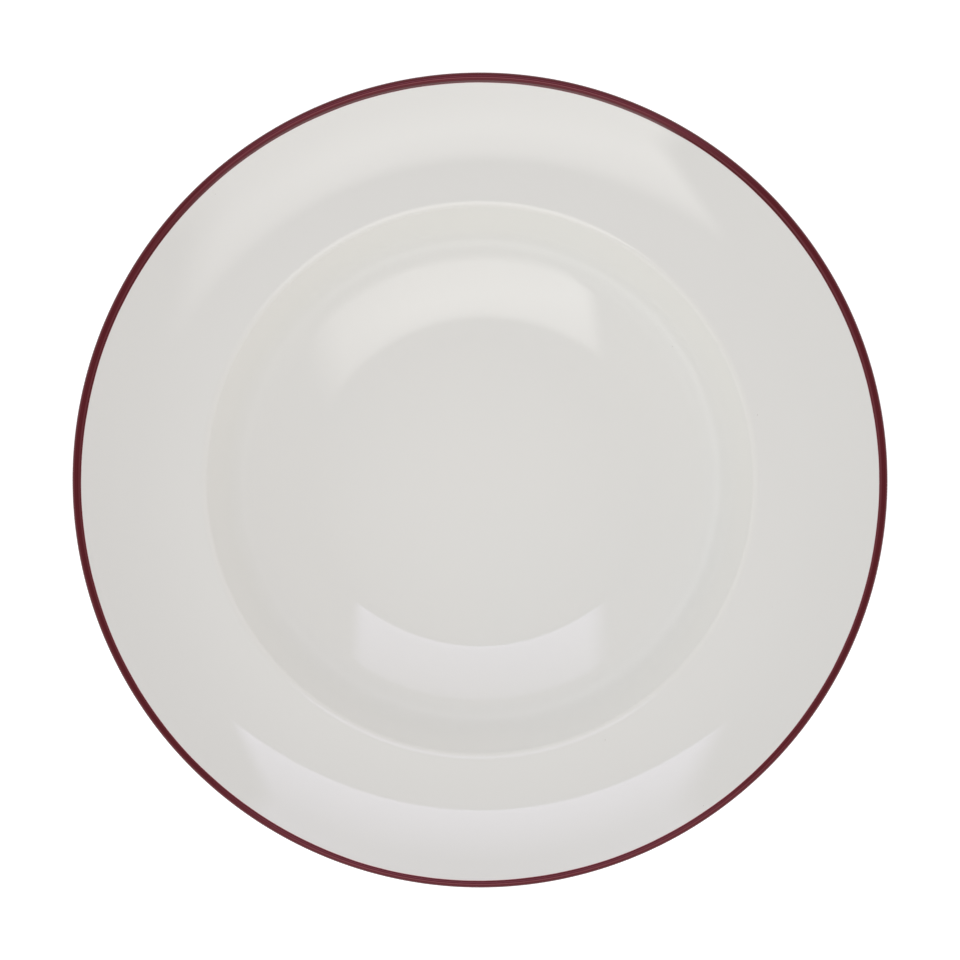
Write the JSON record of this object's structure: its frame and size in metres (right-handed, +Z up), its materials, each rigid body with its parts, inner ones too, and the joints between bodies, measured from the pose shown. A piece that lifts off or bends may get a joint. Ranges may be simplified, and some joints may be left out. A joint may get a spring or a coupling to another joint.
{
  "type": "rimmed soup plate",
  "caption": "Round deep plate with a wide shallow rim, a steep-walled soup well, a maroon line along its rounded lip and a turned foot ring.",
  "frame": {"origin": "centre of the foot ring, on the plane that it stands on", "axes": "+Z up along the axis that the plate was turned on; +X and +Y lie in the table's plane, with +Y away from the person eating"},
  "size_m": [0.225, 0.225, 0.0363],
  "materials": {
    "bare_porcelain": "unglazed, ground smooth where it stands",
    "face_glaze": "clear gloss glaze over white porcelain",
    "maroon_band": "gloss colour line, drawn on the wheel",
    "back_glaze": "clear gloss glaze over white porcelain",
    "recess_glaze": "clear gloss glaze over white porcelain"
  },
  "bodies": {
    "root": {"porcelain_body": "bare_porcelain", "face_glaze": "face_glaze", "rim_band": "maroon_band", "back_glaze": "back_glaze", "recess_glaze": "recess_glaze"}
  },
  "joints": []
}
